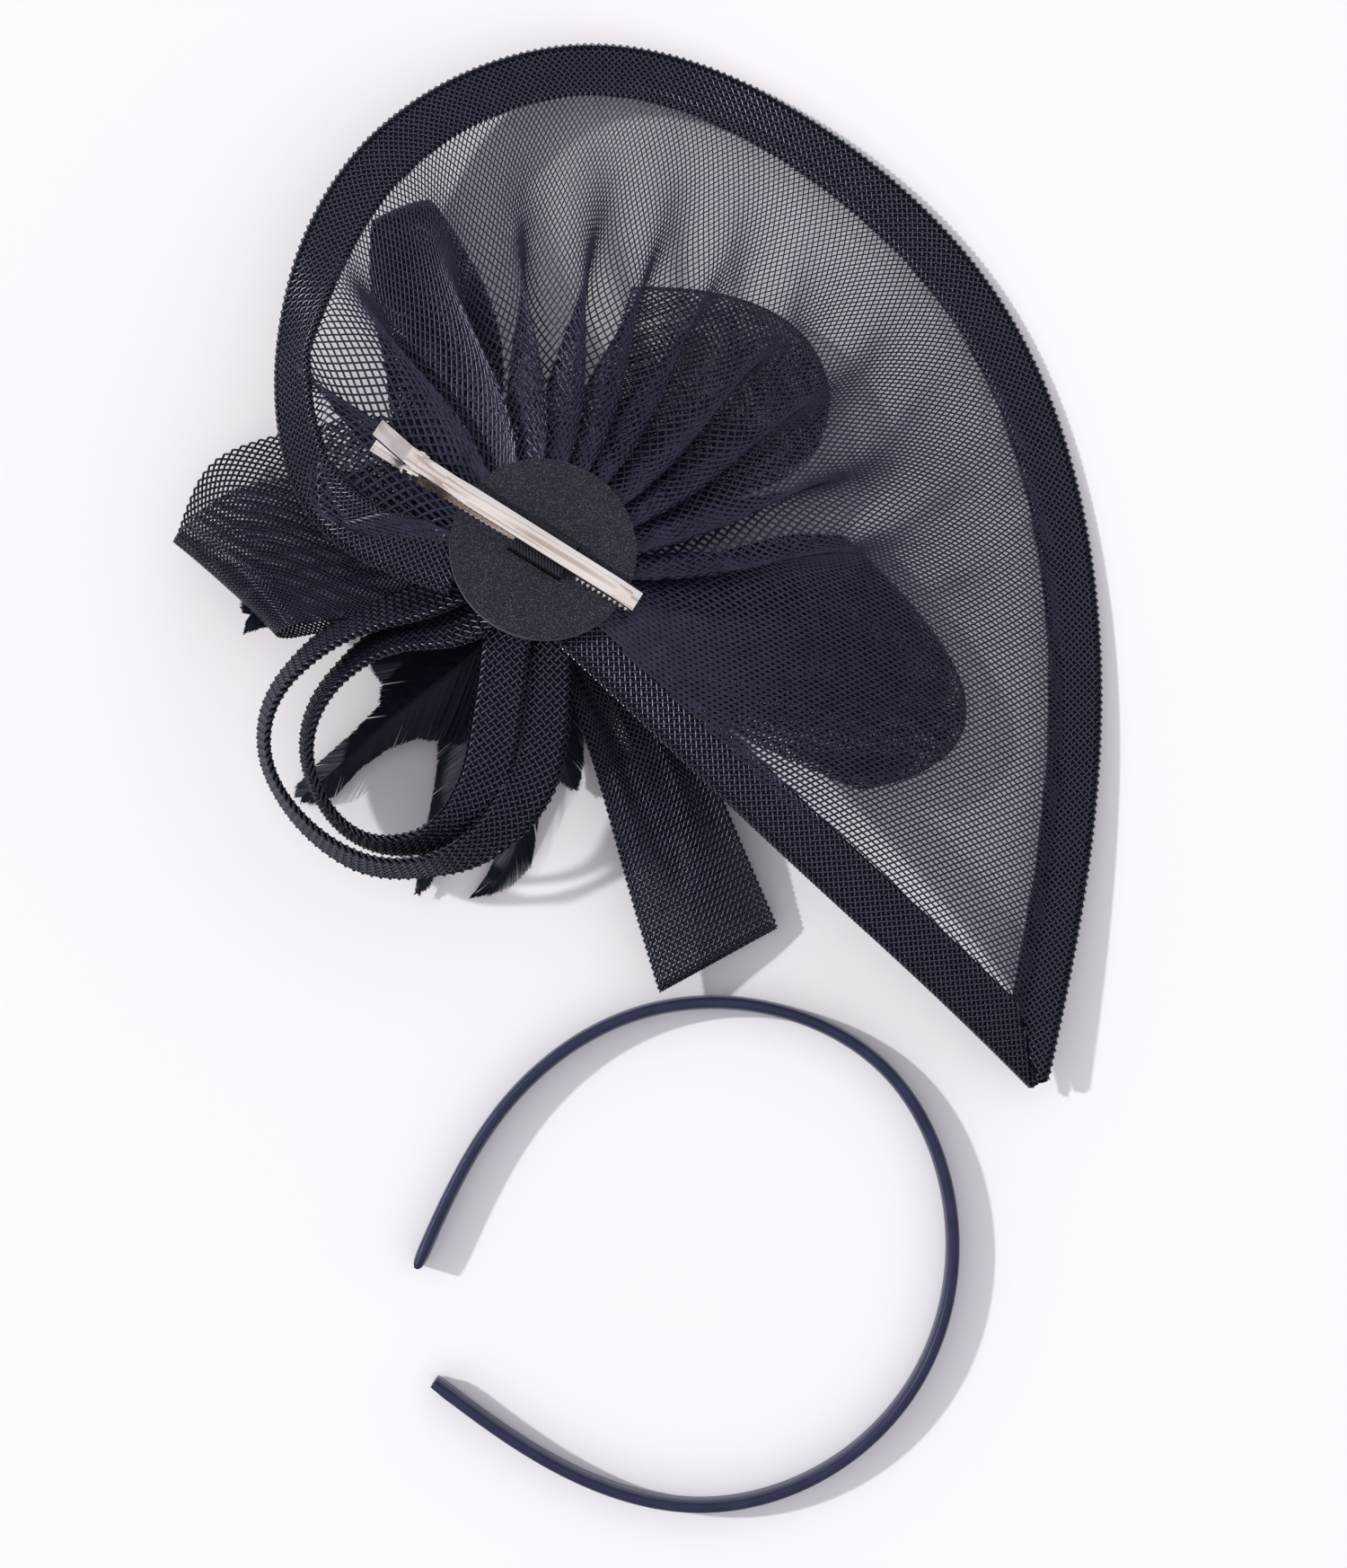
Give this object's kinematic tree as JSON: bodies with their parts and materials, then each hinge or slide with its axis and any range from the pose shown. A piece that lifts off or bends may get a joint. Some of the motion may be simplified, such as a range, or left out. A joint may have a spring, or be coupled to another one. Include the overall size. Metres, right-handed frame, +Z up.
{
  "type": "fascinator headpiece",
  "caption": "Looped mesh fascinator with bound teardrop leaf, tape loops and feathers on a felt pad with a spring hair clip, and its separate satin headband.",
  "frame": {"origin": "on the surface the set lies on, under the middle of the whole set's box, with the fascinator face down and its felt pad and clip upwards", "axes": "+Z up from the surface; +Y from the headband towards the leaf's rounded end, the long side of the set; +X towards the leaf's bound right edge"},
  "size_m": [0.2287, 0.3653, 0.055],
  "materials": {
    "felt": "matte black felt with a short nap",
    "strap_cloth": "smooth black cloth, slightly shiny",
    "clip_metal": "polished nickel-plated sheet steel",
    "spring_wire": "bright drawn wire",
    "sinamay_mesh": "open see-through bias mesh of stiff synthetic strands",
    "binding_cloth": "folded bias strip, close weave",
    "loop_cloth": "double layer of the open mesh",
    "tape_cloth": "flat folded tape of the same cloth",
    "feather": "dyed black feather with a dark navy sheen",
    "thread": "black sewing thread",
    "knot_cloth": "wrapped mesh",
    "band_plastic": "springy moulded plastic",
    "band_satin": "navy-black satin"
  },
  "bodies": {
    "fascinator": {"felt_base": "felt", "fabric_strap": "strap_cloth", "clip_lower_jaw": "clip_metal", "clip_pivot_pin": "clip_metal", "clip_spring": "spring_wire", "leaf_mesh": "sinamay_mesh", "rim_binding": "binding_cloth", "lower_binding": "binding_cloth", "top_left_loop": "loop_cloth", "round_loop": "loop_cloth", "right_loop": "loop_cloth", "tail_loop": "loop_cloth", "left_loop": "loop_cloth", "outer_tape_loop": "tape_cloth", "inner_tape_loop": "tape_cloth", "left_feather": "feather", "middle_feather": "feather", "right_feather": "feather", "centre_stitching": "thread", "front_knot": "knot_cloth"},
    "upper_jaw": {"clip_upper_jaw": "clip_metal"},
    "headband": {"headband_core": "band_plastic", "headband_cover": "band_satin"}
  },
  "joints": [
    {"name": "clip_open", "type": "hinge", "parent": "fascinator", "child": "upper_jaw", "pos_m": [-0.05313, 0.07354, 0.04546], "axis": [-0.5047, -0.8236, 0.2588], "range_deg": [0, 32], "stiffness_Nm_per_rad": 0.03, "springref_deg": -34.38},
    {"name": "headband_lift", "type": "slide", "parent": "fascinator", "child": "headband", "axis": [0, 0, 1], "range_m": [0, 0.08]}
  ]
}
